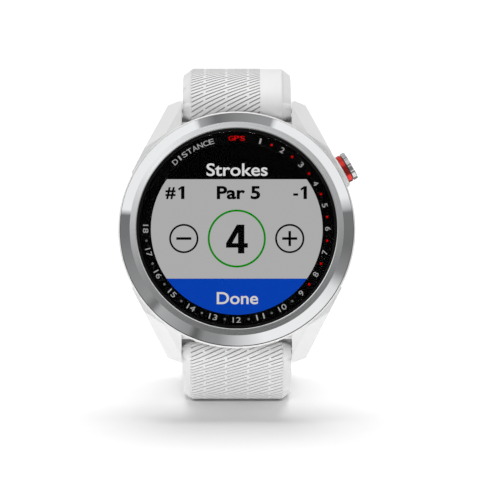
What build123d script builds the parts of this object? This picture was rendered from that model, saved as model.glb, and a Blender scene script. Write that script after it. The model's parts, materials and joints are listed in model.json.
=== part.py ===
from build123d import *
from math import cos, radians, sin
import os

# Golf GPS watch, standing on its opened silicone strap with the dial facing -Y.
# The head is modelled in the watch's own frame (X to 3 o'clock, Y to 12 o'clock,
# Z out of the glass, Z = 0 on the back cover) and then tilted onto the stand.
# Lengths are in millimetres, angles in degrees.

# ---- Driving dimensions -------------------------------------------------------
LEAN = 12.0                # how far the dial leans back from upright
CASE_R = 21.7              # white rim under the bezel
CASE_WALL_R = 21.2
CAVITY_R = 18.6
CASE_BOTTOM = 1.45
CASE_TOP = 8.2
RIM_Z = 7.0                # underside of the rim between the lugs
THICKNESS = 11.5           # back cover to top of bezel

BEZEL_R = 21.3
BEZEL_RING_R = 19.5        # where the polished cone meets the brushed ring
BEZEL_INNER_R = 18.3
DISPLAY_R = 15.75          # visible display

STRAP_W = 20.0
LUG_GAP = 20.2
BAR_Y = 22.2               # spring bar centre, from the dial's centre
BAR_Z = 3.8
WALL_Y = 19.9              # case wall behind the strap's barrel

BUTTON_ANGLE = 30.0        # above 3 o'clock
BUTTON_Z = 4.9
BOSS_END = 22.3
ACCENT_LOW = 22.4
WASHER_LOW = 23.2
CAP_LOW = 23.4
CAP_END = 24.2

BARREL_R = 2.0             # finished radius of the strap's end around its bar
BAND_T = 2.8               # finished strap thickness
TREAD_T = 0.2              # depth left for the patterned outer skin
FLAT_W = 16.5              # flat outer face of the strap between its bevels
BEVEL_DEPTH = 1.3
RELEASE_TRAVEL = 1.2

# A strap path is a list of moves: a bend (radius, turn) or a run (length, 0).
# Turns are written as the lower strap makes them; the upper strap turns the other way.
# A shoulder starts at its tilt from the dial's plane and ends level with the floor.
LOWER_TILT = 45.0
LOWER_SHOULDER = [(9.0, 23.0), (9.2, 0), (12.0, 11.0), (3.5, 0), (5.0, 23.0)]
UPPER_TILT = 26.0
UPPER_SHOULDER = [(9.0, 26.0), (2.0, 0), (17.0, 26.0)]

FLOOR_RUN = 38.0
TAIL_BEND_R = 38.0
TAIL_TURN = 65.0
TREAD_TURN = 12.0          # part of the tail bend that still carries the pattern
TAIL_RUN = 22.0
HOLES = 8
HOLE_PITCH = 5.5
TIP_R = 10.0

TOP_RUN = 4.0
BACK_BEND_R = 20.0
BACK_TREAD_TURN = 60.0
BACK_RUN = 20.0

TUBE_R = 0.75
TIP_PIN_R = 0.4
CLEARANCE = 0.05           # running clearance on pins


# ---- Frames and small helpers -------------------------------------------------
def tube(outer, inner, low, high):
    """A ring or pipe about Z."""
    ring = Circle(outer) - Circle(inner)
    return Pos(0, 0, low) * extrude(ring, high - low)


def disc(radius, low, high):
    return Pos(0, 0, low) * extrude(Circle(radius), high - low)


def plate(width, depth, low, high, corner=0.5):
    return Pos(0, 0, low) * extrude(RectangleRounded(width, depth, corner), high - low)


def turned(points):
    """Solid of revolution about Z from a closed outline of (radius, height) corners."""
    return revolve(Plane.XZ * make_face(Polyline(*points, close=True)), Axis.Z)


def all_quarters(piece):
    """The piece and its mirror images, one in each quarter of the watch."""
    half = [piece, mirror(piece, Plane.YZ)]
    return half + [mirror(part, Plane.XZ) for part in half]


def coil_spring(mean_radius, wire_radius, length, turns):
    """Helical spring along +Z, starting at Z = 0."""
    height = length - 2 * wire_radius
    path = Pos(0, 0, wire_radius) * Helix(height / turns, height, mean_radius)
    section = Plane(origin=path @ 0, z_dir=path % 0) * Circle(wire_radius)
    return sweep(section, path=path, is_frenet=True)


def side_path(start, heading, moves):
    """Smooth wire in the X = 0 plane, and the point and heading where it ends."""
    point = Vector(*start)
    edges = []
    for size, turn in moves:
        direction = Vector(cos(radians(heading)), sin(radians(heading)))
        if turn:
            edges.append(JernArc(point, direction, size, turn))
        else:
            edges.append(Line(point, point + direction * size))
        point = edges[-1] @ 1
        heading += turn
    return Plane.YZ * Wire(edges), (point.X, point.Y), heading


def mirrored_moves(moves):
    return [(size, -turn) for size, turn in moves]


def watch_to_side(y, z, stand):
    """(Y, Z) in the standing frame of a point of the watch, whose own origin is placed at stand."""
    lean = radians(LEAN)
    return (y * sin(lean) - z * cos(lean) + stand[0], y * cos(lean) + z * sin(lean) + stand[1])


def strap_tilt(side):
    return UPPER_TILT if side > 0 else LOWER_TILT


def strap_heading(side):
    """Direction in which a strap leaves its barrel, from +Y towards +Z."""
    return side * (90.0 - strap_tilt(side)) - LEAN


def shoulder_start(side, stand):
    """Where a strap's outer face leaves its barrel; side is +1 for 12 o'clock, -1 for 6."""
    tilt = radians(strap_tilt(side))
    return watch_to_side(side * (BAR_Y + BARREL_R * sin(tilt)), BAR_Z + BARREL_R * cos(tilt), stand)


# The watch is placed so that the lower strap's flat run lies on Z = 0 with its middle at Y = 0.
_, FLAT_START, _ = side_path(shoulder_start(-1, (0.0, 0.0)), strap_heading(-1), LOWER_SHOULDER)
STAND = (-FLAT_START[0] - FLOOR_RUN / 2, -FLAT_START[1])
WATCH = Plane(origin=(0, *STAND), x_dir=(1, 0, 0), z_dir=(0, -cos(radians(LEAN)), sin(radians(LEAN))))
BUTTON = Plane(
    origin=(0, 0, BUTTON_Z),
    x_dir=(0, 0, 1),
    z_dir=(cos(radians(BUTTON_ANGLE)), sin(radians(BUTTON_ANGLE)), 0),
)


# ---- Case ---------------------------------------------------------------------
SCREW_PLACE = 12.87        # case screws, in X and Y
LUG_TIP_Y = 24.2


def lug():
    """One lug, in the 12 o'clock and 3 o'clock quarter."""
    plan = make_face(Polyline((LUG_GAP / 2, 14), (LUG_GAP / 2, LUG_TIP_Y), (12.7, 23.2), (19.2, 10.6),
                              (15.0, 9.0), close=True))
    tip = Pos(BAR_Y, BAR_Z) * Circle(LUG_TIP_Y - BAR_Y)
    body = make_face(Polyline((9, 7.9), (17.6, 7.9), (23.3, 5.5), (24.1, 3.6), (23.6, 2.4), (21.8, 1.8),
                              (17.5, 1.6), (9, 2.6), close=True))
    side = extrude(Plane.YZ * (tip + body), 20)
    blank = extrude(plan, 9) & side
    crease = Vector(13.5 - 10.3, 17.5 - 23.8, 7.75 - 5.05)
    outward = Vector(0.8, 0.42, -0.62)
    facet = Plane(origin=(10.3, 23.8, 5.05), x_dir=crease, z_dir=crease.cross(outward))
    return blank - facet * Box(60, 60, 12, align=(Align.CENTER, Align.CENTER, Align.MIN))


def lug_web():
    """Fills the corner between case wall and lug, with a foot under the end of the strap's barrel."""
    side = make_face(Polyline((16.5, 1.5), (21.3, 1.5), (21.3, 1.8), (WALL_Y, 1.8), (WALL_Y, 6.25),
                              (16.5, 6.25), close=True))
    return extrude(Plane.YZ.offset(7.6) * side, 3.1)


def mid_case():
    wall = turned([(14, CASE_BOTTOM), (19.9, CASE_BOTTOM), (CASE_WALL_R, 2.9), (CASE_WALL_R, 6.4),
                   (CASE_R, RIM_Z), (CASE_R, CASE_TOP - 0.25), (CASE_R - 0.25, CASE_TOP), (14, CASE_TOP)])
    boss = BUTTON * disc(3.2, 18.0, BOSS_END)
    boss = chamfer(boss.edges().filter_by(GeomType.CIRCLE).sort_by(Axis((0, 0, 0), BUTTON.z_dir))[-1], 0.25)
    body = wall + all_quarters(lug()) + boss
    strap_room = Pos(0, WALL_Y, -1) * Box(LUG_GAP, 10, RIM_Z + 1, align=(Align.CENTER, Align.MIN, Align.MIN))
    body -= [strap_room, mirror(strap_room, Plane.XZ)]
    body += all_quarters(lug_web())
    body -= disc(CAVITY_R, 0, 10)
    screw_post = Pos(SCREW_PLACE, SCREW_PLACE) * disc(1.5, 2.2, 6.5)
    body += all_quarters(screw_post)
    body -= all_quarters(Pos(SCREW_PLACE, SCREW_PLACE) * disc(0.7, 1.0, 5.8))
    body -= BUTTON * disc(0.8 + CLEARANCE, 17.0, 21.0)
    body -= BUTTON * disc(1.4, 18.95, 19.55)
    body -= BUTTON * disc(1.6, 19.95, 21.3)
    body -= BUTTON * disc(2.8, 21.25, 23.0)
    bar_hole = Pos(0, BAR_Y, BAR_Z) * Rot(0, 90, 0) * Cylinder(TIP_PIN_R + CLEARANCE, 22.6)
    return body - [bar_hole, mirror(bar_hole, Plane.XZ)]


def bezel():
    return turned([(BEZEL_INNER_R, CASE_TOP), (BEZEL_R - 0.1, CASE_TOP), (BEZEL_R, CASE_TOP + 0.1),
                   (BEZEL_R, 9.2), (BEZEL_RING_R, 11.15), (BEZEL_INNER_R + 0.15, THICKNESS),
                   (BEZEL_INNER_R, THICKNESS - 0.1)])


def back_cover():
    cover = turned([(0, 0), (19.5, 0), (20.2, 0.6), (20.2, 1.2), (18.4, 1.2), (18.4, 2.0), (17.9, 2.0),
                    (17.9, 1.2), (0, 1.2)])
    cover -= all_quarters(Pos(SCREW_PLACE, SCREW_PLACE) * (disc(1.25, -1, 0.8) + disc(0.75, 0, 3)))
    cover -= Pos(0, CHARGE_Y) * plate(9.1, 3.5, -1, 0.55)
    return cover - [Pos(x, CHARGE_Y) * disc(0.8, 0, 2) for x in contact_places()]


def back_gasket():
    return tube(19.6, 18.95, 1.2, CASE_BOTTOM)


def case_screws():
    screw = disc(1.15, 0.1, 0.8) + disc(0.65, 0.8, 5.5) - Rot(0, 0, 45) * Box(1.5, 0.3, 0.9)
    return all_quarters(Pos(SCREW_PLACE, SCREW_PLACE) * screw)


# ---- Charging port ------------------------------------------------------------
CHARGE_Y = -13.0
CONTACTS = 4
CONTACT_PITCH = 2.1


def contact_places():
    return [(i - (CONTACTS - 1) / 2) * CONTACT_PITCH for i in range(CONTACTS)]


def charge_insert():
    base = Pos(0, CHARGE_Y) * plate(9, 3.4, 0, 0.55)
    return base - [Pos(x, CHARGE_Y) * disc(0.8, -1, 2) for x in contact_places()]


def charge_contacts():
    return [Pos(x, CHARGE_Y) * disc(0.75, 0.1, 1.45) for x in contact_places()]


# ---- Glass, dial and display --------------------------------------------------
LENS_R = 17.75
LENS_LOW = 9.7
LENS_TOP = 11.2
FRAME_LOW = 6.7
DISPLAY_LOW = 7.3


def lens():
    glass = disc(LENS_R, LENS_LOW, LENS_TOP)
    return chamfer(glass.edges().sort_by(Axis.Z)[-1], 0.2)


def lens_gasket():
    return tube(BEZEL_INNER_R - 0.03, LENS_R + 0.03, LENS_LOW, LENS_TOP + 0.05)


def dial_ring():
    return tube(18.1, DISPLAY_R, 9.35, 9.6)


def touch_layer():
    return disc(16.4, 9.05, 9.3)


def display_panel():
    return disc(16.4, DISPLAY_LOW, 9.0)


def display_frame():
    shell = disc(18.4, FRAME_LOW, 8.0) + disc(18.1, 8.0, 9.3) - disc(16.6, 7.25, 10)
    return shell - Pos(0, -10, 6) * Box(7, 1.2, 4)


def display_flex():
    """Ribbon from the display's back, through the frame's slot, to the board."""
    drop = Pos(0, -10, 6.1) * Box(6, 0.2, 2.3)
    foot = Pos(0, -8.6, 5.05) * Box(6, 3, 0.2)
    return drop + foot


# ---- Electronics --------------------------------------------------------------
BOARD_LOW = 4.3
BOARD_TOP = 4.9


def main_board():
    board = disc(17.9, BOARD_LOW, BOARD_TOP)
    board -= all_quarters(Pos(SCREW_PLACE, SCREW_PLACE) * disc(1.8, 0, 10))
    button_notch = BUTTON * Box(4, 4.4, 4, align=(Align.CENTER, Align.CENTER, Align.MIN))
    board -= Pos(*(BUTTON.z_dir * 16.3)) * button_notch
    connector = Pos(0, -5.9, BOARD_TOP + 0.5) * Box(7, 2, 1)
    memory = Pos(8.5, -3, BOARD_TOP + 0.4) * Box(4, 4, 0.8)
    charger = Pos(8.5, -9.5, BOARD_TOP + 0.35) * Box(3, 3, 0.7)
    return board + connector + memory + charger


def processor_shield():
    can = Pos(-8.5, -2, BOARD_TOP) * plate(9, 11, 0, 1.3, 0.8)
    return can - Pos(-8.5, -2, BOARD_TOP - 0.1) * plate(8.6, 10.6, 0, 1.2, 0.6)


def gps_antenna():
    patch = Pos(0, 10.5) * plate(9, 9, BOARD_TOP, 6.3, 0.4)
    return patch + Pos(0, 10.5) * plate(7, 7, 6.3, 6.4, 0.4)


def battery():
    return Pos(2.5, 0) * plate(22, 22, 1.5, 4.1, 1.5)


def vibration_motor():
    return Pos(-13.2, 4) * disc(4.0, 1.5, 4.1)


def tact_switch():
    housing = BUTTON * Pos(1.0, 0, 14.9) * Box(1.4, 3.6, 1.5, align=(Align.MIN, Align.CENTER, Align.MIN))
    housing = Pos(0, 0, BOARD_TOP - BUTTON_Z - 1.0) * housing
    plunger = Pos(0, 0, 0.5) * (BUTTON * disc(0.5, 16.3, 16.6))
    return housing + plunger


# ---- Button -------------------------------------------------------------------
FLUTES = 12


def button_cap():
    cap = disc(2.7, CAP_LOW, CAP_END)
    cap = chamfer(cap.edges().sort_by(Axis.Z)[-1], 0.12)
    cap -= [Rot(0, 0, i * 360 / FLUTES) * Pos(2.95, 0) * disc(0.42, 23, 25) for i in range(FLUTES)]
    return BUTTON * (cap - disc(0.82, 23, CAP_LOW + 0.3))


def button_washer():
    return BUTTON * tube(2.4, 0.82, WASHER_LOW, CAP_LOW)


def button_accent_ring():
    return BUTTON * tube(2.65, 0.82, ACCENT_LOW, WASHER_LOW)


def button_stem():
    return BUTTON * disc(0.8, 17.25, CAP_LOW + 0.25)


def button_clip():
    ring = tube(1.5, 0.82, 18.05, 18.35)
    return BUTTON * (ring - Pos(0, 1.2, 18) * Box(0.9, 1.6, 3))


def button_o_ring():
    return BUTTON * Pos(0, 0, 19.25) * Torus(1.1, 0.24)


def button_spring():
    return BUTTON * Pos(0, 0, 20.0) * coil_spring(1.2, 0.15, 2.15, 4)


# ---- Strap --------------------------------------------------------------------
def strap_section(outward, lowered):
    """Band section, flat outside with a bevel at each side; outward is +1 or -1."""
    slope = (STRAP_W - FLAT_W) / 2 / BEVEL_DEPTH
    flat = FLAT_W / 2 + lowered * slope
    edge = STRAP_W / 2
    corner = 0.4
    right = [(flat, -lowered), (edge, -BEVEL_DEPTH), (edge, corner - BAND_T), (edge - corner, -BAND_T)]
    left = [(-x, y) for x, y in reversed(right)]
    return make_face(Polyline(*[(x, outward * y) for x, y in right + left], close=True))


def swept_band(path, outward, lowered):
    plane = Plane(origin=path @ 0, x_dir=(1, 0, 0), z_dir=path % 0)
    return sweep(plane * strap_section(outward, lowered), path=path)


def across_bar(side):
    """Frame on a spring bar: X along the bar, Y along the strap, Z out of the strap's face."""
    heading = radians(strap_heading(side))
    y, z = watch_to_side(side * BAR_Y, BAR_Z, STAND)
    outward = (0, -side * sin(heading), side * cos(heading))
    return Plane(origin=(0, y, z), x_dir=(1, 0, 0), z_dir=outward)


def barrel(side):
    """Strap end around its spring bar, with the bore and the slot for the release lever."""
    frame = across_bar(side)
    along = side                       # the strap runs along +Y above, -Y below
    skin = BARREL_R - TREAD_T
    round_end = Rot(0, 90, 0) * chamfer(Cylinder(skin, STRAP_W).edges().filter_by(GeomType.CIRCLE), 1.3, 0.6)
    wedge = make_face(Polyline((0, 0), (along * 5.5, -0.5), (along * 5.5, -skin), (0, -skin), close=True))
    shoulder = extrude(Plane.YZ * wedge, STRAP_W / 2, both=True)
    return frame * (round_end + shoulder)


def bar_cuts(side):
    frame = across_bar(side)
    bore = Rot(0, 90, 0) * Cylinder(TUBE_R + 0.1, STRAP_W + 2)
    slot = Pos(LEVER_X - RELEASE_TRAVEL / 2, 0, -2) * Box(RELEASE_TRAVEL + 1.6, 1.6, 4)
    return frame * (bore + slot)


def lower_strap():
    """Long half, with adjustment holes and a rounded tip, lying on the floor."""
    tread_moves = LOWER_SHOULDER + [(FLOOR_RUN, 0), (TAIL_BEND_R, TREAD_TURN)]
    plain_moves = [(TAIL_BEND_R, TAIL_TURN - TREAD_TURN), (TAIL_RUN, 0)]
    tread, joint, heading = side_path(shoulder_start(-1, STAND), strap_heading(-1), tread_moves)
    plain, tip, heading = side_path(joint, heading, plain_moves)
    body = barrel(-1) + swept_band(tread, 1, TREAD_T) + swept_band(plain, 1, 0)
    body -= bar_cuts(-1)
    for i in range(HOLES):
        station = plain.length - 12 - i * HOLE_PITCH
        centre = plain.position_at(station, position_mode=PositionMode.LENGTH)
        along = plain.tangent_at(station, position_mode=PositionMode.LENGTH)
        frame = Plane(origin=centre, x_dir=(1, 0, 0), z_dir=Vector(1, 0, 0).cross(along))
        body -= frame * extrude(SlotOverall(3.6, 2.2), 5, both=True)
    end = Plane(origin=(0, *tip), x_dir=(1, 0, 0), z_dir=plain % 1).rotated((90, 0, 0))
    corners = Pos(0, -TIP_R / 2) * Rectangle(STRAP_W + 2, TIP_R) - Pos(0, -TIP_R) * Circle(TIP_R)
    return body - end * extrude(corners, 6, both=True)


def upper_path():
    tread_moves = mirrored_moves(UPPER_SHOULDER + [(TOP_RUN, 0), (BACK_BEND_R, BACK_TREAD_TURN)])
    plain_moves = mirrored_moves([(BACK_BEND_R, 90 - BACK_TREAD_TURN), (BACK_RUN, 0)])
    tread, joint, heading = side_path(shoulder_start(1, STAND), strap_heading(1), tread_moves)
    plain, end, heading = side_path(joint, heading, plain_moves)
    return tread, plain, end


def buckle_place():
    """Frame on the buckle pin: X along the pin, Y down the strap, Z out of its face."""
    _, _, end = upper_path()
    return Plane(origin=(0, end[0] - BAND_T / 2, end[1]), x_dir=(1, 0, 0), z_dir=(0, 1, 0))


PIN_R = 0.75
END_R = 2.0
TANG_SLOT = 3.0


def upper_strap():
    """Short half, which carries the buckle."""
    tread, plain, _ = upper_path()
    body = barrel(1) + swept_band(tread, -1, TREAD_T) + swept_band(plain, -1, 0)
    body -= bar_cuts(1)
    place = buckle_place()
    body += place * Rot(0, 90, 0) * Cylinder(END_R, STRAP_W)
    body -= place * Rot(0, 90, 0) * Cylinder(PIN_R + CLEARANCE, STRAP_W + 2)
    return body - place * Pos(0, -0.5, 0) * Box(TANG_SLOT, 9, 8)


KEEPER_W = 5.0
KEEPER_WALL = 1.2
KEEPER_ROOM = 6.2          # two thicknesses of strap
FIXED_KEEPER_AT = 7.6      # above the buckle pin
FREE_KEEPER_AT = 15.2
KEEPER_TRAVEL = 2.0


def keeper(distance):
    """Loop around the strap that holds the tail down."""
    outer_x = STRAP_W + 0.8 + 2 * KEEPER_WALL
    outer_z = KEEPER_ROOM + 2 * KEEPER_WALL
    loop = RectangleRounded(outer_x, outer_z, 1.4) - RectangleRounded(STRAP_W + 0.8, KEEPER_ROOM, 0.4)
    lift = KEEPER_ROOM / 2 - BAND_T / 2 - 0.3
    ring = extrude(Plane.XZ * loop, KEEPER_W / 2, both=True)
    return buckle_place() * Pos(0, -distance, lift) * ring


# ---- Buckle -------------------------------------------------------------------
BUCKLE_W = 24.2
BUCKLE_GAP = 20.4
BUCKLE_REACH = 9.5
CROSSBAR_R = 1.2


def buckle_frame():
    """Two side arms joined by a round crossbar, hinged on the buckle pin."""
    arm_t = (BUCKLE_W - BUCKLE_GAP) / 2
    outline = Circle(1.8) + Pos(0, BUCKLE_REACH) * Circle(CROSSBAR_R)
    outline += make_face(Polyline((-1.8, 0), (1.8, 0), (CROSSBAR_R, BUCKLE_REACH), (-CROSSBAR_R, BUCKLE_REACH),
                                  close=True))
    outline = Plane.YZ * (Rot(0, 0, -90) * outline)
    arm = Pos((BUCKLE_GAP + arm_t) / 2, 0, 0) * extrude(outline, arm_t / 2, both=True)
    bar = Pos(0, BUCKLE_REACH, 0) * Rot(0, 90, 0) * Cylinder(CROSSBAR_R, BUCKLE_W - 1)
    frame = bar + arm + mirror(arm, Plane.YZ)
    frame -= Rot(0, 90, 0) * Cylinder(PIN_R, BUCKLE_W + 2)
    return buckle_place() * (frame - Pos(0, BUCKLE_REACH, CROSSBAR_R) * Box(2.6, 4, 0.8))


def buckle_pin():
    return buckle_place() * Rot(0, 90, 0) * Cylinder(PIN_R, BUCKLE_W - 0.4)


def buckle_tang():
    """Tongue that turns on the pin and rests in the crossbar's notch."""
    eye = Rot(0, 90, 0) * (Cylinder(1.5, 2.2) - Cylinder(PIN_R + CLEARANCE, 4))
    rest = CROSSBAR_R - 0.35
    blade = Pos(0, 0, rest + 0.5) * Box(2.0, BUCKLE_REACH + 1.9, 0.9, align=(Align.CENTER, Align.MIN, Align.CENTER))
    return buckle_place() * (eye + blade)


# ---- Quick-release spring bars ------------------------------------------------
LEVER_X = 7.4
TUBE_END = 8.6
TIP_END = 11.0


def bar_tube(side):
    """Steel tube of a spring bar, slotted for its release lever."""
    pipe = Rot(0, 90, 0) * (Cylinder(TUBE_R, 2 * TUBE_END) - Cylinder(TUBE_R - 0.2, 2 * TUBE_END + 2))
    slot = Pos(LEVER_X - RELEASE_TRAVEL / 2, 0, -1) * Box(RELEASE_TRAVEL + 1.2, 1.2, 2)
    return across_bar(side) * (pipe - slot)


def bar_tip(side):
    """Fixed end of a spring bar, pressed into its tube and turning in the lug."""
    pin = Pos(-(TIP_END + 7.6) / 2, 0, 0) * Rot(0, 90, 0) * Cylinder(TIP_PIN_R, TIP_END - 7.6)
    plug = Pos(-8.1, 0, 0) * Rot(0, 90, 0) * Cylinder(TUBE_R - 0.2, 1)
    return across_bar(side) * (pin + plug)


def release_lever(side):
    """Sliding end of a spring bar with the lever that pulls it out of the lug."""
    pin = Pos((TIP_END + 5.4) / 2, 0, 0) * Rot(0, 90, 0) * Cylinder(TIP_PIN_R, TIP_END - 5.4)
    shank = Pos(6.9, 0, 0) * Rot(0, 90, 0) * Cylinder(TUBE_R - 0.25, 2.6)
    lever = Pos(LEVER_X, 0, -1.12) * Cylinder(0.5, 2.24)
    return across_bar(side) * (pin + shank + lever)


def bar_spring(side):
    return across_bar(side) * Pos(-7.5, 0, 0) * Rot(0, 90, 0) * coil_spring(0.36, 0.1, 12.8, 16)


# ---- Output -------------------------------------------------------------------
HEAD = [mid_case, bezel, back_cover, back_gasket, case_screws, charge_insert, charge_contacts, lens,
        lens_gasket, dial_ring, touch_layer, display_panel, display_frame, display_flex, main_board,
        processor_shield, gps_antenna, battery, vibration_motor, tact_switch, button_cap, button_washer,
        button_accent_ring, button_stem, button_clip, button_o_ring, button_spring]
SIDES = {"upper": 1, "lower": -1}

pieces = {}
for make in HEAD:
    made = make()
    solids = made if isinstance(made, list) else [made]
    pieces[make.__name__] = [WATCH.location * solid for solid in solids]
for name, side in SIDES.items():
    pieces[f"{name}_bar_tube"] = [bar_tube(side)]
    pieces[f"{name}_bar_tip"] = [bar_tip(side)]
    pieces[f"{name}_bar_spring"] = [bar_spring(side)]
    pieces[f"{name}_release_lever"] = [release_lever(side)]
for make in [upper_strap, lower_strap, buckle_frame, buckle_pin, buckle_tang]:
    pieces[make.__name__] = [make()]
pieces["fixed_keeper"] = [keeper(FIXED_KEEPER_AT)]
pieces["free_keeper"] = [keeper(FREE_KEEPER_AT)]

os.makedirs("parts", exist_ok=True)
for node, solids in pieces.items():
    export_step(Compound(label=node, children=solids), f"parts/{node}.step")
for label, place in {"upper bar": across_bar(1), "lower bar": across_bar(-1), "buckle pin": buckle_place()}.items():
    print(label, place.origin)
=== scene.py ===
import json
from math import atan2, cos, cosh, degrees, log, pi, radians, sin, sqrt

import bmesh
import bpy
from mathutils import Matrix, Vector


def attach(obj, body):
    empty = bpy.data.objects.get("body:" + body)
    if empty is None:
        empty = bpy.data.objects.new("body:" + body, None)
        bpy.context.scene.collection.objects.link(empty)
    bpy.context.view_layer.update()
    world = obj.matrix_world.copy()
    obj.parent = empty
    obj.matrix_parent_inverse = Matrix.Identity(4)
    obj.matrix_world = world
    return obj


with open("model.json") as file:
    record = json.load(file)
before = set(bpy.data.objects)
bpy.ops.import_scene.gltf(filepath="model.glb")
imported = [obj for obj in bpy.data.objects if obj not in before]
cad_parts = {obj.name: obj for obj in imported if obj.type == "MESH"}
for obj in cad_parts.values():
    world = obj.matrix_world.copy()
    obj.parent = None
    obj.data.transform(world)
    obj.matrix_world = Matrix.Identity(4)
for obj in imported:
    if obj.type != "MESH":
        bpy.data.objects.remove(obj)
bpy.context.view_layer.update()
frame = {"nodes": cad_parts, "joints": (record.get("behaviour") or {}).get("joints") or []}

# Looks of the golf GPS watch. Shapes are worked out in millimetres, in the watch's own
# frame (X to 3 o'clock, Y to 12 o'clock, Z out of the glass) or along a strap, and then
# placed in the row frame in metres.

MM = 0.001
nodes = frame["nodes"]

# ---- Driving dimensions, as in the CAD model (mm, degrees) ----------------------
LEAN = 12.0
BAR_Y, BAR_Z, BARREL_R = 22.2, 3.8, 2.0
FLAT_W, BEVEL_SLOPE = 16.5, 1.35
TREAD_T = 0.2
DISPLAY_R = 15.75
TOUCH_TOP = 9.3
RING_TOP = 9.6
BEZEL_RING_R = 19.5
WATCH_MID_Z = 5.75
TILT = {"upper": 26.0, "lower": 45.0}
SHOULDER = {
    "upper": [(9.0, 26.0), (2.0, 0), (17.0, 26.0)],
    "lower": [(9.0, 23.0), (9.2, 0), (12.0, 11.0), (3.5, 0), (5.0, 23.0)],
}
REST = {"upper": [(4.0, 0), (20.0, 60.0)], "lower": [(38.0, 0), (38.0, 12.0)]}
SIDE = {"upper": 1, "lower": -1}
WRAP = 105.0               # how far the pattern wraps back around the strap's barrel


# ---- Frames ---------------------------------------------------------------------
def joint_place(name):
    """Pivot of a joint in the side plane, (Y, Z) in mm."""
    joint = next(j for j in frame["joints"] if j["name"] == name)
    return Vector((joint["pos_m"][1], joint["pos_m"][2])) / MM


def lean_turn(y, z):
    lean = radians(LEAN)
    return Vector((y * sin(lean) - z * cos(lean), y * cos(lean) + z * sin(lean)))


STAND = joint_place("upper_strap_hinge") - lean_turn(BAR_Y, BAR_Z)
WATCH = Matrix.Translation((0, STAND.x * MM, STAND.y * MM)) @ Matrix.Rotation(radians(90 - LEAN), 4, "X")


def watch_point(x, y, z):
    return WATCH @ (Vector((x, y, z)) * MM)


# ---- Mesh helpers ---------------------------------------------------------------
def add_mesh(name, mesh, body, material, smooth=None):
    """Puts a finished mesh in the scene, riding on a CAD body."""
    piece = bpy.data.objects.new(name, mesh)
    bpy.context.scene.collection.objects.link(piece)
    mesh.materials.append(material)
    if smooth is not None:
        shade(mesh, smooth)
    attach(piece, body)
    return piece


def shade(mesh, angle):
    """Smooth shading with edges kept sharp above an angle in degrees."""
    mesh.shade_smooth()
    mesh.set_sharp_from_angle(angle=radians(angle))


def mesh_from(work, name):
    mesh = bpy.data.meshes.new(name)
    work.to_mesh(mesh)
    work.free()
    return mesh


def thicken(work, depth):
    """Closes an open sheet downwards into a solid of that depth, along -Z."""
    grown = bmesh.ops.extrude_face_region(work, geom=work.faces[:], use_keep_orig=True)
    for part in grown["geom"]:
        if isinstance(part, bmesh.types.BMVert):
            part.co.z -= depth
    bmesh.ops.recalc_face_normals(work, faces=work.faces)


def add_outline(work, corners, low, high):
    """A prism from a flat outline of (x, y) corners."""
    face = work.faces.new([work.verts.new((x, y, high)) for x, y in corners])
    grown = bmesh.ops.extrude_face_region(work, geom=[face], use_keep_orig=True)
    for part in grown["geom"]:
        if isinstance(part, bmesh.types.BMVert):
            part.co.z = low


def arc_points(radius, start, end, steps, centre=(0, 0)):
    turn = radians(end - start)
    return [(centre[0] + radius * cos(radians(start) + turn * i / steps),
             centre[1] + radius * sin(radians(start) + turn * i / steps)) for i in range(steps + 1)]


def add_ring(work, centre, radius, width, low, high, steps=96):
    """A flat round line: its outline is two circles."""
    loops = []
    for r, z in ((radius + width / 2, low), (radius + width / 2, high),
                 (radius - width / 2, high), (radius - width / 2, low)):
        loops.append([work.verts.new((x, y, z)) for x, y in arc_points(r, 0, 360, steps, centre)[:-1]])
    for a, b in zip(loops, loops[1:] + loops[:1]):
        for i in range(steps):
            j = (i + 1) % steps
            work.faces.new((a[i], a[j], b[j], b[i]))


def watch_piece(name, work, material, body="head", smooth=30):
    """Finishes a piece drawn in the watch's frame, in mm."""
    bmesh.ops.recalc_face_normals(work, faces=work.faces)
    mesh = mesh_from(work, name)
    mesh.transform(WATCH @ Matrix.Scale(MM, 4))
    return add_mesh(name, mesh, body, material, smooth)


def between(stops, place):
    """Reads a list of (place, value) stops, straight between them and level beyond the ends."""
    if place <= stops[0][0]:
        return stops[0][1]
    for (a, low), (b, high) in zip(stops, stops[1:]):
        if place <= b:
            return low + (high - low) * (place - a) / (b - a)
    return stops[-1][1]


# ---- Lettering ------------------------------------------------------------------
def add_text(work, text, size, place, low, depth, bold=0.03):
    """Lettering of a given width and height, centred, turned and moved by a 2D placement."""
    curve = bpy.data.curves.new("lettering", "FONT")
    curve.body = text
    curve.bevel_depth = bold
    curve.bevel_resolution = 2
    curve.extrude = 0.01
    curve.resolution_u = 6
    holder = bpy.data.objects.new("lettering", curve)
    bpy.context.scene.collection.objects.link(holder)
    bpy.context.view_layer.update()
    mesh = bpy.data.meshes.new_from_object(holder.evaluated_get(bpy.context.evaluated_depsgraph_get()))
    bpy.data.objects.remove(holder)
    spans = [(min(values), max(values)) for values in zip(*(v.co for v in mesh.vertices))]
    middle = Vector([(start + end) / 2 for start, end in spans])
    fit = [want / (end - start) for want, (start, end) in zip((*size, depth), spans)]
    mesh.transform(Matrix.Translation((0, 0, low + depth / 2)) @ place
                   @ Matrix.Diagonal((*fit, 1)) @ Matrix.Translation(-middle))
    work.from_mesh(mesh)
    bpy.data.meshes.remove(mesh)


def add_shape(work, corners, box, low, high):
    """A prism whose outline is given as shares of a box (centre x, y, width, height)."""
    x, y, width, height = box
    add_outline(work, [(x + (u - 0.5) * width, y + (v - 0.5) * height) for u, v in corners], low, high)


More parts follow.
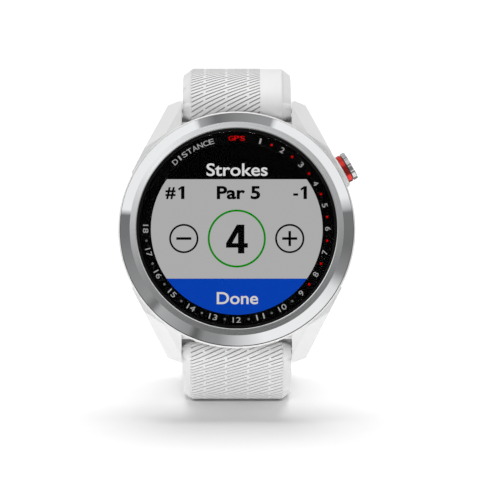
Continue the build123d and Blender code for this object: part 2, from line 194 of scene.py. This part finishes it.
DIGIT_ONE = [(0.48, 0), (1, 0), (1, 1), (0.58, 1), (0, 0.8), (0.17, 0.66), (0.48, 0.79)]
DIGIT_FOUR = [
    [(0.547, 0), (0.841, 0), (0.841, 1), (0.547, 1)],
    [(0, 0.2), (1, 0.2), (1, 0.356), (0, 0.356)],
    [(0, 0.356), (0.28, 0.356), (0.547, 0.72), (0.547, 1), (0.5, 1)],
]


# ---- Materials ------------------------------------------------------------------
def new_material(name, colour, roughness, metallic=0.0):
    material = bpy.data.materials.new(name)
    material.use_nodes = True
    shader = material.node_tree.nodes["Principled BSDF"]
    shader.inputs["Base Color"].default_value = (*colour, 1)
    shader.inputs["Roughness"].default_value = roughness
    shader.inputs["Metallic"].default_value = metallic
    return material, material.node_tree, shader


def noise(tree, scale, detail=3.0, vector=None):
    """Noise over the object's own coordinates; scale is features per metre."""
    if vector is None:
        vector = tree.nodes.new("ShaderNodeTexCoord").outputs["Object"]
    texture = tree.nodes.new("ShaderNodeTexNoise")
    texture.inputs["Scale"].default_value = scale
    texture.inputs["Detail"].default_value = detail
    tree.links.new(vector, texture.inputs["Vector"])
    return texture.outputs["Fac"]


def spread(tree, fac, low, high):
    """Maps 0..1 to a range."""
    ranger = tree.nodes.new("ShaderNodeMapRange")
    ranger.inputs["From Min"].default_value = 0.3
    ranger.inputs["From Max"].default_value = 0.7
    ranger.inputs["To Min"].default_value = low
    ranger.inputs["To Max"].default_value = high
    tree.links.new(fac, ranger.inputs["Value"])
    return ranger.outputs["Result"]


def soften_edges(tree, radius):
    bevel = tree.nodes.new("ShaderNodeBevel")
    bevel.samples = 4
    bevel.inputs["Radius"].default_value = radius * MM
    return bevel.outputs["Normal"]


def bump(tree, shader, height, strength, distance, edge=0.0):
    node = tree.nodes.new("ShaderNodeBump")
    node.inputs["Strength"].default_value = strength
    node.inputs["Distance"].default_value = distance * MM
    tree.links.new(height, node.inputs["Height"])
    if edge:
        tree.links.new(soften_edges(tree, edge), node.inputs["Normal"])
    tree.links.new(node.outputs["Normal"], shader.inputs["Normal"])


def tint(tree, shader, fac, dark, light):
    """Base colour that drifts between two close shades."""
    ramp = tree.nodes.new("ShaderNodeMix")
    ramp.data_type = "RGBA"
    ramp.inputs["A"].default_value = (*dark, 1)
    ramp.inputs["B"].default_value = (*light, 1)
    tree.links.new(fac, ramp.inputs["Factor"])
    tree.links.new(ramp.outputs["Result"], shader.inputs["Base Color"])


def grey(value):
    return (value, value, value)


def moulded(name, dark, light, roughness, grain=2500.0, depth=0.01, edge=0.0, spec=0.5):
    """Moulded plastic or rubber: a fine grain and a slight drift of colour and gloss."""
    material, tree, shader = new_material(name, light, roughness[0])
    shader.inputs["Specular IOR Level"].default_value = spec
    tint(tree, shader, spread(tree, noise(tree, 120), 0.0, 1.0), dark, light)
    tree.links.new(spread(tree, noise(tree, 300), *roughness), shader.inputs["Roughness"])
    bump(tree, shader, noise(tree, grain, 6), 0.4, depth, edge)
    return material


def metal(name, colour, roughness, stretch=(1, 1, 1), scale=900.0, depth=0.002, edge=0.0):
    """Metal with a grain drawn out along one of the object's axes."""
    material, tree, shader = new_material(name, colour, roughness[0], 1.0)
    mapping = tree.nodes.new("ShaderNodeMapping")
    mapping.inputs["Scale"].default_value = stretch
    tree.links.new(tree.nodes.new("ShaderNodeTexCoord").outputs["Object"], mapping.inputs["Vector"])
    grain = noise(tree, scale, 5, mapping.outputs["Vector"])
    tree.links.new(spread(tree, grain, *roughness), shader.inputs["Roughness"])
    bump(tree, shader, grain, 0.3, depth, edge)
    return material


def lit(name, colour, strength=1.0, base=0.0):
    """A glowing material: the lit display, the dial ring's print as painted light, and the backdrop."""
    material, tree, shader = new_material(name, grey(base), 0.6)
    shader.inputs["Specular IOR Level"].default_value = 0.0
    shader.inputs["Emission Strength"].default_value = strength
    glow = noise(tree, 90.0, 1.0)
    ramp = tree.nodes.new("ShaderNodeMix")
    ramp.data_type = "RGBA"
    ramp.inputs["A"].default_value = (*[c * 0.99 for c in colour], 1)
    ramp.inputs["B"].default_value = (*colour, 1)
    tree.links.new(glow, ramp.inputs["Factor"])
    tree.links.new(ramp.outputs["Result"], shader.inputs["Emission Color"])
    return material


def watch_coordinates(tree):
    """The watch's own X, Y, Z in mm, for patterns that turn about the dial's centre."""
    place = WATCH.inverted()
    scaled = Matrix.Scale(1 / MM, 4) @ place
    mapping = tree.nodes.new("ShaderNodeMapping")
    mapping.inputs["Location"].default_value = scaled.to_translation()
    mapping.inputs["Rotation"].default_value = place.to_euler()
    mapping.inputs["Scale"].default_value = grey(1 / MM)
    tree.links.new(tree.nodes.new("ShaderNodeTexCoord").outputs["Object"], mapping.inputs["Vector"])
    return mapping.outputs["Vector"]


def math_node(tree, operation, *values):
    node = tree.nodes.new("ShaderNodeMath")
    node.operation = operation
    for socket, value in zip(node.inputs, values):
        if isinstance(value, (int, float)):
            socket.default_value = value
        else:
            tree.links.new(value, socket)
    return node.outputs[0]


def bezel_metal():
    """Polished cone outside, circular brushing on the top ring inside."""
    material, tree, shader = new_material("bezel_metal", (0.80, 0.81, 0.82), 0.1, 1.0)
    split = tree.nodes.new("ShaderNodeSeparateXYZ")
    tree.links.new(watch_coordinates(tree), split.inputs[0])
    x, y = split.outputs[0], split.outputs[1]
    radius = math_node(tree, "SQRT", math_node(tree, "ADD", math_node(tree, "MULTIPLY", x, x),
                                               math_node(tree, "MULTIPLY", y, y)))
    angle = math_node(tree, "ARCTAN2", y, x)
    on_ring = math_node(tree, "LESS_THAN", radius, BEZEL_RING_R)
    polar = tree.nodes.new("ShaderNodeCombineXYZ")
    tree.links.new(math_node(tree, "MULTIPLY", radius, 14.0), polar.inputs[0])
    tree.links.new(math_node(tree, "MULTIPLY", math_node(tree, "COSINE", angle), 1.6), polar.inputs[1])
    tree.links.new(math_node(tree, "MULTIPLY", math_node(tree, "SINE", angle), 1.6), polar.inputs[2])
    brushing = noise(tree, 1.0, 4, polar.outputs[0])
    brushed = math_node(tree, "MULTIPLY", on_ring, spread(tree, brushing, 0.12, 0.3))
    tree.links.new(math_node(tree, "ADD", brushed, 0.035), shader.inputs["Roughness"])
    bump(tree, shader, math_node(tree, "MULTIPLY", on_ring, brushing), 0.5, 0.01)
    return material


def glass():
    material, tree, shader = new_material("lens_glass", grey(1.0), 0.0)
    shader.inputs["Transmission Weight"].default_value = 1.0
    shader.inputs["IOR"].default_value = 1.14
    tree.links.new(spread(tree, noise(tree, 60), 0.0, 0.01), shader.inputs["Roughness"])
    return material


case_white = moulded("case_white_plastic", grey(0.74), grey(0.76), (0.28, 0.34), 3000, 0.004, 0.12)
silicone = moulded("white_silicone", grey(0.70), grey(0.72), (0.45, 0.55), 5000, 0.006, 0.12, 0.3)
# Groove floors and walls take this darker silicone: painted shade in the grooves.
groove_painted_shade = moulded("groove_painted_shade", grey(0.38), grey(0.42), (0.6, 0.7), 5000, 0.006, 0, 0.1)
cover_plastic = moulded("cover_plastic", grey(0.62), grey(0.66), (0.4, 0.5), 4000, 0.012, 0.1)
dark_plastic = moulded("dark_plastic", grey(0.012), grey(0.018), (0.4, 0.5), 3500, 0.01)
black_rubber = moulded("black_rubber", grey(0.03), grey(0.05), (0.5, 0.6), 4500, 0.01)
gasket_grey = moulded("gasket_grey", grey(0.004), grey(0.006), (0.45, 0.55), 4500, 0.005, 0, 0.08)
ring_black = moulded("ring_black", grey(0.0015), grey(0.002), (0.5, 0.6), 2000, 0.002, 0, 0.0)
ceramic = moulded("fired_ceramic", (0.7, 0.66, 0.56), (0.75, 0.71, 0.62), (0.35, 0.45), 3000, 0.01)
flex_amber = moulded("flex_amber", (0.38, 0.16, 0.02), (0.45, 0.2, 0.03), (0.25, 0.35), 2000, 0.002)
board_green = moulded("board_green", (0.01, 0.09, 0.03), (0.015, 0.13, 0.05), (0.25, 0.4), 1500, 0.02)
accent_red = metal("accent_red", (0.85, 0.06, 0.05), (0.15, 0.25), (1, 1, 1), 1500, 0.001, 0.05)
steel = metal("drawn_steel", grey(0.62), (0.2, 0.32), (0.05, 1, 1), 2500)
buckle_steel = metal("buckle_steel", grey(0.70), (0.2, 0.27), (1, 1, 0.03), 1800, 0.0005, 0.12)
cap_steel = metal("cap_steel", grey(0.75), (0.12, 0.2), (1, 1, 1), 2500, 0.001, 0.05)
gold = metal("contact_gold", (0.83, 0.6, 0.22), (0.15, 0.25), (1, 1, 1), 2500)
foil = metal("battery_foil", grey(0.66), (0.3, 0.45), (1, 1, 1), 500, 0.02)
bezel_finish = bezel_metal()
lens_glass = glass()

NODE_MATERIALS = {
    case_white: ["mid_case"], silicone: ["upper_strap", "lower_strap", "fixed_keeper", "free_keeper"],
    cover_plastic: ["back_cover"], dark_plastic: ["charge_insert", "display_frame", "tact_switch"],
    black_rubber: ["back_gasket", "button_washer", "button_o_ring"], gasket_grey: ["lens_gasket"],
    ring_black: ["dial_ring", "touch_layer", "display_panel"], ceramic: ["gps_antenna"],
    flex_amber: ["display_flex"], board_green: ["main_board"], accent_red: ["button_accent_ring"],
    steel: ["case_screws", "button_stem", "button_clip", "button_spring", "vibration_motor",
            "processor_shield", "upper_bar_tube", "upper_bar_tip", "upper_bar_spring",
            "upper_release_lever", "lower_bar_tube", "lower_bar_tip", "lower_bar_spring",
            "lower_release_lever", "buckle_pin"],
    buckle_steel: ["buckle_frame", "buckle_tang"], cap_steel: ["button_cap"], gold: ["charge_contacts"],
    foil: ["battery"], bezel_finish: ["bezel"], lens_glass: ["lens"],
}
for material, names in NODE_MATERIALS.items():
    for name in names:
        mesh = nodes[name].data
        mesh.materials.clear()
        mesh.materials.append(material)
        shade(mesh, 20)


# ---- Strap pattern --------------------------------------------------------------
GROOVE_W = 0.3
GROOVE_FLOOR_W = 0.18
GROOVE_DEPTH = 0.18
GROOVE_SLOPE = 0.64
PITCH = {"upper": 1.0, "lower": 1.2}
COLUMN_PITCH = 4.02
COLUMNS = [(i - 1.5) * COLUMN_PITCH + 0.05 for i in range(4)]
GAP = 0.42
GAP_WALL = 0.06
FILL_STEP = 0.8            # the widest cell of the grid between the gaps
CLOSE_AT, CLOSE_WIDTH = 4.0, 3.0    # where the lower pattern's spacing changes
CLOSE_SCALE, CLOSE_GAIN = 0.93, 0.66
FOOT = TREAD_T + 0.05      # how thick the skin is, sunk a little into the strap
SMOOTH_BAND_FROM = 4.3     # the upper strap's pattern stops here


class StrapPath:
    """The strap's outer surface in the side plane, by distance from where it leaves its barrel."""

    def __init__(self, name):
        self.side = side = SIDE[name]
        tilt, wrap = radians(TILT[name]), radians(WRAP)
        heading = side * (90.0 - TILT[name]) - LEAN
        normal = Vector((-side * sin(radians(heading)), side * cos(radians(heading))))
        leaves = STAND + lean_turn(side * (BAR_Y + BARREL_R * sin(tilt)), BAR_Z + BARREL_R * cos(tilt))
        point = leaves + (Matrix.Rotation(side * wrap, 2) @ normal - normal) * BARREL_R
        heading += side * WRAP
        self.start = at = -wrap * BARREL_R
        self.pieces = []
        for size, turn in [(BARREL_R, WRAP)] + SHOULDER[name] + REST[name]:
            turn = -side * turn
            length = abs(radians(turn)) * size if turn else size
            self.pieces.append((at, length, point, heading, size, turn))
            point, heading = self.along(self.pieces[-1], length)
            at += length
        self.end = at

    @staticmethod
    def along(piece, distance):
        _, length, point, heading, size, turn = piece
        if not turn:
            step = Vector((cos(radians(heading)), sin(radians(heading))))
            return point + step * distance, heading
        turned = heading + turn * distance / length
        sign = 1 if turn > 0 else -1
        a, b = radians(heading), radians(turned)
        return point + Vector((sin(b) - sin(a), cos(a) - cos(b))) * size * sign, turned

    def place(self, x, distance, height):
        """Point in the row frame, in metres, above or below the strap's outer surface."""
        piece = next((p for p in self.pieces if distance <= p[0] + p[1] + 1e-6), self.pieces[-1])
        point, heading = self.along(piece, distance - piece[0])
        normal = Vector((-self.side * sin(radians(heading)), self.side * cos(radians(heading))))
        out = point + normal * height
        return Vector((x, out.x, out.y)) * MM


def groove_columns(left, right):
    """Places across the strap where the grid needs a line."""
    lines = {left, right}
    for column in COLUMNS:
        for offset in (-GAP / 2 - GAP_WALL, -GAP / 2, GAP / 2, GAP / 2 + GAP_WALL):
            if left < column + offset < right:
                lines.add(column + offset)
    for i in range(int((right - left) / FILL_STEP) + 1):
        spot = left + FILL_STEP * i
        if min(abs(spot - line) for line in lines) > 0.3:
            lines.add(spot)
    return sorted(lines)


def in_gap(x):
    return any(abs(x - column) <= GAP / 2 + GAP_WALL / 2 for column in COLUMNS)


def surface_place(name, place):
    """Distance along a strap of a place in its pattern; the lower one's closes up towards the case."""
    if name == "upper":
        return place
    closing = log(cosh((place - CLOSE_AT) / CLOSE_WIDTH) / cosh(CLOSE_AT / CLOSE_WIDTH))
    return CLOSE_SCALE * place + CLOSE_GAIN * closing


def tread_sheet(name, path, left, right):
    """Flat grooved sheet in (x, distance, height), with rows that follow the grooves."""
    work = bmesh.new()
    xs = groove_columns(left, right)
    pitch = PITCH[name]
    profile = [(-GROOVE_W / 2, 0), (-GROOVE_FLOOR_W / 2, -1), (GROOVE_FLOOR_W / 2, -1), (GROOVE_W / 2, 0),
               (pitch * 0.36, 0), (pitch * 0.64, 0)]
    rows = []
    for k in range(-12, int((path.end + 8) / pitch)):
        for offset, level in profile:
            row = []
            for x in xs:
                deep = level and not (k % 2 and in_gap(x))
                across = surface_place(name, k * pitch + offset + path.side * GROOVE_SLOPE * x)
                row.append(work.verts.new((x, across, -GROOVE_DEPTH if deep else 0.0)))
            rows.append(row)
    for a, b in zip(rows, rows[1:]):
        for i in range(len(xs) - 1):
            work.faces.new((a[i], a[i + 1], b[i + 1], b[i]))
    for limit, outward in ((path.start, -1), (path.end, 1)):
        geom = work.verts[:] + work.edges[:] + work.faces[:]
        bmesh.ops.bisect_plane(work, geom=geom, plane_co=(0, limit, 0), plane_no=(0, outward, 0),
                               clear_outer=True, dist=1e-5)
    return work


def plain_sheet(path, left, right):
    """Smooth strip beside the pattern."""
    work = bmesh.new()
    steps = int((path.end - path.start) / 0.6)
    rows = [[work.verts.new((x, path.start + (path.end - path.start) * i / steps, 0.0))
             for x in (left, right)] for i in range(steps + 1)]
    for a, b in zip(rows, rows[1:]):
        work.faces.new((a[0], a[1], b[1], b[0]))
    return work


def bend_onto(work, path):
    for vert in work.verts:
        vert.co = path.place(*vert.co)


def strap_tread(name):
    """The patterned outer skin of one strap half."""
    path = StrapPath(name)
    edge = FLAT_W / 2
    if name == "upper":
        sheets = [tread_sheet(name, path, -edge, SMOOTH_BAND_FROM), plain_sheet(path, SMOOTH_BAND_FROM, edge)]
    else:
        sheets = [tread_sheet(name, path, -edge, edge)]
    whole = bmesh.new()
    for work in sheets:
        thicken(work, FOOT)
        mesh = mesh_from(work, "sheet")
        whole.from_mesh(mesh)
        bpy.data.meshes.remove(mesh)
    widen_foot(whole)
    for face in whole.faces:
        # Faces down in the grooves get the second, darker material: painted shade.
        face.material_index = int(any(-TREAD_T < v.co.z < -0.01 for v in face.verts))
    bend_onto(whole, path)
    bmesh.ops.recalc_face_normals(whole, faces=whole.faces)
    piece = add_mesh(f"{name}_strap_tread", mesh_from(whole, name), f"{name}_strap", silicone, 25)
    piece.data.materials.append(groove_painted_shade)


def widen_foot(work):
    """Slopes the outer sides of the skin so that they carry on the strap's bevels."""
    for vert in work.verts:
        if abs(abs(vert.co.x) - FLAT_W / 2) < 1e-4 and vert.co.z < -FOOT + 1e-4:
            vert.co.x += FOOT * BEVEL_SLOPE * (1 if vert.co.x > 0 else -1)


for strap in SIDE:
    strap_tread(strap)


# ---- Seam between bezel and case ------------------------------------------------
CASE_TOP = 8.2
BEZEL_R = 21.3


def bezel_seam():
    work = bmesh.new()
    add_ring(work, (0, 0), BEZEL_R + 0.05, 0.12, CASE_TOP - 0.02, CASE_TOP + 0.015, 180)
    watch_piece("bezel_seam", work, black_rubber)


bezel_seam()


# ---- Dial ring ------------------------------------------------------------------
NUMBER_R = 16.62
LAST_OUTWARD = 6           # the numbers after this one have their tops to the centre
NUMBER_H = 1.0
NUMBER_W = (0.75, 1.5)     # of one and two digits
DOT_R = 0.22
INK_LOW, INK_T = RING_TOP + 0.005, 0.02

# The dial ring's print glows though it is only print, not a lamp: painted light.
pale_ink_painted_light = lit("pale_ink_painted_light", grey(0.33), 1.0, 0.02)
grey_ink_painted_light = lit("grey_ink_painted_light", grey(0.11), 1.0, 0.02)
red_ink_painted_light = lit("red_ink_painted_light", (0.5, 0.0, 0.0), 1.0, 0.0)


def ring_place(clock_angle, flip=False, radius=NUMBER_R):
    """Placement on the ring, clockwise from 12, reading outwards or, flipped, inwards."""
    turn = -radians(clock_angle) + (pi if flip else 0)
    centre = Vector((radius * sin(radians(clock_angle)), radius * cos(radians(clock_angle)), 0))
    return Matrix.Translation(centre) @ Matrix.Rotation(turn, 4, "Z")


def ring_numbers():
    work = bmesh.new()
    for number in range(1, 19):
        place = ring_place(number * 15, flip=number > LAST_OUTWARD)
        size = (0.3 if number == 1 else NUMBER_W[number > 9], NUMBER_H)
        add_text(work, str(number), size, place, INK_LOW, INK_T, 0.002)
    watch_piece("dial_numbers", work, pale_ink_painted_light)


def ring_dots(name, angles, material):
    work = bmesh.new()
    for angle in angles:
        x, y = NUMBER_R * sin(radians(angle)), NUMBER_R * cos(radians(angle))
        add_outline(work, arc_points(DOT_R, 0, 360, 16, (x, y))[:-1], INK_LOW, INK_LOW + INK_T)
    watch_piece(name, work, material)


def ring_word(name, text, first, step, letter, material):
    """A generic word along the ring, letter by letter."""
    work = bmesh.new()
    for i, character in enumerate(text):
        size = (0.32 if character == "I" else letter[0], letter[1])
        add_text(work, character, size, ring_place(first + step * i), INK_LOW, INK_T, 0.006)
    watch_piece(name, work, material)


ring_numbers()
ring_dots("dial_dots_red", [22.5 + 15 * i for i in range(8)], red_ink_painted_light)
ring_dots("dial_dots_grey", [142.5 + 15 * i for i in range(9)], grey_ink_painted_light)
ring_word("dial_word", "DISTANCE", -42.5, 3.75, (0.95, 0.95), pale_ink_painted_light)
ring_word("dial_word_red", "GPS", -3.6, 3.6, (0.9, 0.85), red_ink_painted_light)


# ---- Lit display ----------------------------------------------------------------
SCREEN_LOW = TOUCH_TOP + 0.01
SCREEN_T = 0.02
PRINT_LOW = SCREEN_LOW + SCREEN_T + 0.01
SCREEN_R = DISPLAY_R - 0.08
TOP_LINE = 9.10            # edges of the display's three bands, above the dial's centre
BOTTOM_LINE = -9.06
STEP_X, STEP_Y = 9.66, -1.75
STEP_R, SCORE_R = 2.5, 5.12


def band(name, top, bottom, material):
    """The part of the round screen between two heights."""
    def corner(height):
        return degrees(atan2(height, sqrt(SCREEN_R ** 2 - height ** 2)))

    high, low = corner(min(top, SCREEN_R - 0.001)), corner(max(bottom, 0.001 - SCREEN_R))
    right = arc_points(SCREEN_R, low, high, 40)
    left = [(-x, y) for x, y in reversed(right)]
    work = bmesh.new()
    add_outline(work, right + left, SCREEN_LOW, SCREEN_LOW + SCREEN_T)
    watch_piece(name, work, material)


def words(name, texts, material, bold=0.03):
    """Lettering on the screen: (text, centre x, centre y, width, height)."""
    work = bmesh.new()
    for text, x, y, width, height in texts:
        add_text(work, text, (width, height), Matrix.Translation((x, y, 0)), PRINT_LOW, SCREEN_T, bold)
    return watch_piece(name, work, material)


def box_outline(x, y, width, height):
    return [(x - width / 2, y - height / 2), (x + width / 2, y - height / 2),
            (x + width / 2, y + height / 2), (x - width / 2, y + height / 2)]


def step_buttons():
    """Round minus and plus buttons on the screen."""
    work = bmesh.new()
    high = PRINT_LOW + SCREEN_T
    for x in (-STEP_X, STEP_X):
        add_ring(work, (x, STEP_Y), STEP_R, 0.34, PRINT_LOW, high)
        add_outline(work, box_outline(x, STEP_Y, 2.75, 0.47), PRINT_LOW, high)
    for half in (-1, 1):
        add_outline(work, box_outline(STEP_X, STEP_Y + half * 0.8, 0.47, 1.15), PRINT_LOW, high)
    watch_piece("screen_step_buttons", work, print_black)


def score_digits():
    """The digits that the screen draws with straight strokes."""
    work = bmesh.new()
    high = PRINT_LOW + SCREEN_T
    for part in DIGIT_FOUR:
        add_shape(work, part, (0.03, -1.84, 3.98, 5.27), PRINT_LOW, high)
    for x in (-10.15, 12.2):
        add_shape(work, DIGIT_ONE, (x, 6.65, 1.2, 2.36), PRINT_LOW, high)
    watch_piece("screen_digits", work, print_black)


print_black = lit("print_black", grey(0.0))
print_white = lit("print_white", grey(0.66))
print_pale = lit("print_pale", (0.62, 0.6, 0.56))
band("screen_top", SCREEN_R, TOP_LINE, lit("screen_black", grey(0.0)))
band("screen_middle", TOP_LINE, BOTTOM_LINE, lit("screen_grey", grey(0.413)))
band("screen_bottom", BOTTOM_LINE, -SCREEN_R, lit("screen_blue", (0.001, 0.047, 0.413)))
words("screen_title", [("Strokes", 0.05, 10.86, 11.16, 2.34)], print_white, 0.014)
words("screen_labels", [("#", -12.1, 6.55, 1.85, 2.2), ("Par 5", 0.31, 6.64, 7.93, 2.43),
                        ("-", 10.75, 6.3, 0.9, 0.42)], print_black)
words("screen_done", [("Done", 0.12, -12.65, 7.54, 2.22)], print_pale, 0.014)
score_digits()
score_ring = bmesh.new()
add_ring(score_ring, (0, STEP_Y), SCORE_R, 0.36, PRINT_LOW, PRINT_LOW + SCREEN_T, 160)
watch_piece("screen_score_ring", score_ring, lit("print_green", (0.0, 0.216, 0.0)))
step_buttons()


# ---- Camera, light and floor ----------------------------------------------------
CAMERA_DISTANCE = 700.0
CAMERA_RISE = 8.0
FRAME_WIDTH = 88.07        # what the picture takes in at the dial, mm
AIM = (0.587, -1.75)       # the picture's centre from the watch's centre, right and up, mm
SENSOR = 36.0


def aimed(location, target):
    turn = (Vector(target) - Vector(location)).to_track_quat("-Z", "Y")
    return Matrix.Translation(location) @ turn.to_matrix().to_4x4()


def add_camera():
    rise = radians(CAMERA_RISE)
    middle = watch_point(0, 0, WATCH_MID_Z)
    target = middle + Vector((AIM[0], 0, AIM[1] / cos(rise))) * MM
    location = target + Vector((0, -cos(rise), sin(rise))) * CAMERA_DISTANCE * MM
    data = bpy.data.cameras.new("camera")
    data.sensor_width = SENSOR
    data.lens = SENSOR * CAMERA_DISTANCE / FRAME_WIDTH
    data.clip_start, data.clip_end = 0.01, 20
    camera = bpy.data.objects.new("camera", data)
    camera.matrix_world = aimed(location, target)
    bpy.context.scene.collection.objects.link(camera)
    bpy.context.scene.camera = camera


def add_softbox(name, location, target, size, power, colour=(1, 1, 1)):
    data = bpy.data.lights.new(name, "AREA")
    data.shape = "RECTANGLE"
    data.size, data.size_y = size
    data.energy = power
    data.color = colour
    light = bpy.data.objects.new(name, data)
    light.matrix_world = aimed(location, target)
    bpy.context.scene.collection.objects.link(light)
    light.visible_camera = False
    return light


def add_sun(name, direction, strength, softness):
    data = bpy.data.lights.new(name, "SUN")
    data.energy = strength
    data.angle = radians(softness)
    light = bpy.data.objects.new(name, data)
    light.matrix_world = aimed(direction, (0, 0, 0))
    bpy.context.scene.collection.objects.link(light)


def add_tent(name, stops, back, front):
    """A strip of the light tent around the dial's axis. The metal sees it, nothing else does."""
    work = bmesh.new()
    steps = 240
    rims = [[work.verts.new(watch_point(TENT_R * sin(turn), TENT_R * cos(turn), z))
             for turn in (2 * pi * i / steps for i in range(steps))] for z in (back, front)]
    for i in range(steps):
        j = (i + 1) % steps
        work.faces.new((rims[0][i], rims[0][j], rims[1][j], rims[1][i]))
    mesh = mesh_from(work, name)
    tones = mesh.color_attributes.new("tone", "FLOAT_COLOR", "POINT")
    for i in range(len(mesh.vertices)):
        tones.data[i].color = (*grey(between(stops, 360 * (i % steps) / steps)), 1)
    material = bpy.data.materials.new(name)
    material.use_nodes = True
    tree = material.node_tree
    tree.nodes.clear()
    source = tree.nodes.new("ShaderNodeAttribute")
    source.attribute_name = "tone"
    glow = tree.nodes.new("ShaderNodeEmission")
    output = tree.nodes.new("ShaderNodeOutputMaterial")
    tree.links.new(source.outputs["Color"], glow.inputs["Color"])
    tree.links.new(glow.outputs[0], output.inputs["Surface"])
    mesh.materials.append(material)
    tent = bpy.data.objects.new(name, mesh)
    tent.visible_camera = tent.visible_diffuse = tent.visible_transmission = tent.visible_shadow = False
    bpy.context.scene.collection.objects.link(tent)


FLOOR_SIDE = 8.0           # m
BACKDROP_R, BACKDROP_TOP = 3.9, 6.0    # m
TENT_R = 150.0
# Brightness of the tent by clock angle in degrees: what the cone and the top ring mirror.
CONE_TONES = [(0, 0.27), (10, 0.33), (17, 0.36), (18.5, 1.0), (70, 1.0), (76, 0.55), (78, 0.21), (95, 0.19),
              (110, 0.3), (118, 0.85), (130, 1.0), (165, 1.02), (178, 0.7), (190, 0.33), (198, 0.3),
              (203, 0.12), (207, 0.33), (215, 0.4), (226, 0.48), (230, 0.18), (235, 0.34), (255, 0.28),
              (270, 0.21), (281, 0.2), (283, 1.0), (340, 1.02), (342, 0.42), (350, 0.17), (360, 0.27)]
RING_TONES = [(0, 0.62), (60, 0.46), (110, 0.24), (165, 0.18), (210, 0.2), (255, 0.34), (285, 0.65),
              (315, 1.1), (335, 0.8), (360, 0.62)]


def add_floor():
    work = bmesh.new()
    work.faces.new([work.verts.new((x, y, 0.0)) for x, y in box_outline(0, 0, FLOOR_SIDE, FLOOR_SIDE)])
    mesh = mesh_from(work, "floor")
    material = moulded("floor_paper", grey(0.92), grey(0.93), (0.7, 0.8), 400, 0.01, 0, 0.2)
    mesh.materials.append(material)
    floor = bpy.data.objects.new("floor", mesh)
    bpy.context.scene.collection.objects.link(floor)
    floor.visible_glossy = False


def add_backdrop():
    """A pale paper cylinder far around the floor, seen by the camera only."""
    work = bmesh.new()
    circle = arc_points(BACKDROP_R, 0, 360, 96)[:-1]
    rims = [[work.verts.new((*corner, z)) for corner in circle] for z in (-0.1, BACKDROP_TOP)]
    for i in range(len(rims[0])):
        j = (i + 1) % len(rims[0])
        work.faces.new((rims[0][i], rims[1][i], rims[1][j], rims[0][j]))
    mesh = mesh_from(work, "backdrop")
    mesh.materials.append(lit("backdrop_paper", grey(0.86)))
    shade(mesh, 30)
    backdrop = bpy.data.objects.new("backdrop", mesh)
    backdrop.visible_diffuse = backdrop.visible_glossy = False
    backdrop.visible_transmission = backdrop.visible_shadow = False
    bpy.context.scene.collection.objects.link(backdrop)


def add_world():
    world = bpy.data.worlds.new("studio")
    world.use_nodes = True
    world.node_tree.nodes["Background"].inputs["Color"].default_value = (*grey(0.22), 1)
    world.node_tree.nodes["Background"].inputs["Strength"].default_value = 1.0
    bpy.context.scene.world = world


def dial_side(clock_angle, distance):
    """A place out from the dial in its plane, clockwise from 12, at a distance in mm."""
    turn = radians(clock_angle)
    return watch_point(distance * sin(turn), distance * cos(turn), 0)


add_camera()
add_world()
add_floor()
add_backdrop()
add_sun("top_sun", (0.03, 0.33, 1.0), 1.95, 45)
centre = watch_point(0, 0, 0)
add_softbox("left_box", dial_side(311.5, 600), centre, (0.66, 0.6), 1.0)
add_softbox("right_box", dial_side(47.5, 600), centre, (0.66, 0.6), 1.0)
front_box = add_softbox("front_box", (-0.3, -0.9, 0.07), centre, (0.8, 0.12), 2.7)
front_box.visible_glossy = False
add_softbox("back_box", (0, 0.8, 0.7), (0, 0.8, 0), (0.8, 0.9), 3)
under_box = add_softbox("under_box", (0, -0.069, 0.0005), (0, -0.069, 1), (0.1, 0.1), 0.013)
under_box.visible_glossy = False
add_tent("cone_tent", CONE_TONES, -110, 75)
add_tent("ring_tent", RING_TONES, 75, 400)

bpy.context.scene.view_settings.view_transform = "Standard"
